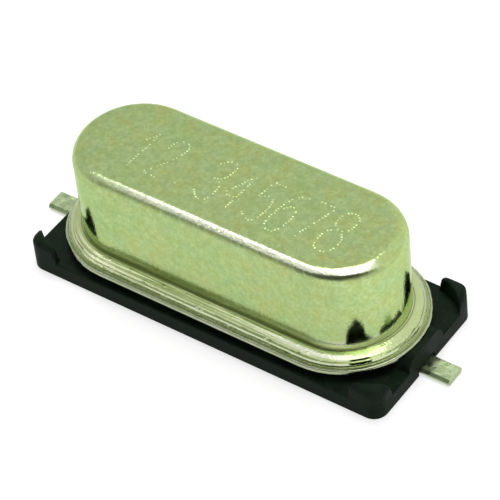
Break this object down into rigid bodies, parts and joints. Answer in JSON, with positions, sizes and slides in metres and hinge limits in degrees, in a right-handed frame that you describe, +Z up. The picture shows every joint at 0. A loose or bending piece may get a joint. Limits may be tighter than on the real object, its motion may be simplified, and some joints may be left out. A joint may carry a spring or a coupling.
{
  "type": "surface-mount quartz crystal",
  "caption": "Quartz crystal sealed in a low drawn metal can with rounded ends, seated on a black moulded insulator, with flat bent leads that solder to a board and set a circuit's timing.",
  "frame": {"origin": "on the seating plane, under the middle of the can", "axes": "+X along the can through both leads, +Y across it, +Z up from the board"},
  "size_m": [0.0132, 0.0046, 0.0039],
  "materials": {
    "can_metal": "satin nickel plating with a warm greenish tint, fine scuffs along the long sides",
    "header_metal": "nickel plating, smoother and greyer than the can",
    "insulator_plastic": "black moulded plastic, fine spark-eroded texture",
    "tinned_lead": "dull tin plating, mottled",
    "seal_glass": "dark sealing glass",
    "clip_metal": "plain nickel",
    "quartz": "lapped quartz",
    "silver_film": "evaporated silver",
    "silver_adhesive": "cured silver-filled adhesive"
  },
  "bodies": {
    "root": {"can": "can_metal", "header": "header_metal", "insulator": "insulator_plastic", "lead_right": "tinned_lead", "lead_left": "tinned_lead", "glass_seal_right": "seal_glass", "glass_seal_left": "seal_glass", "clip_right": "clip_metal", "clip_left": "clip_metal", "quartz_blank": "quartz", "electrode_front": "silver_film", "electrode_back": "silver_film", "adhesive_right": "silver_adhesive", "adhesive_left": "silver_adhesive"}
  },
  "joints": []
}
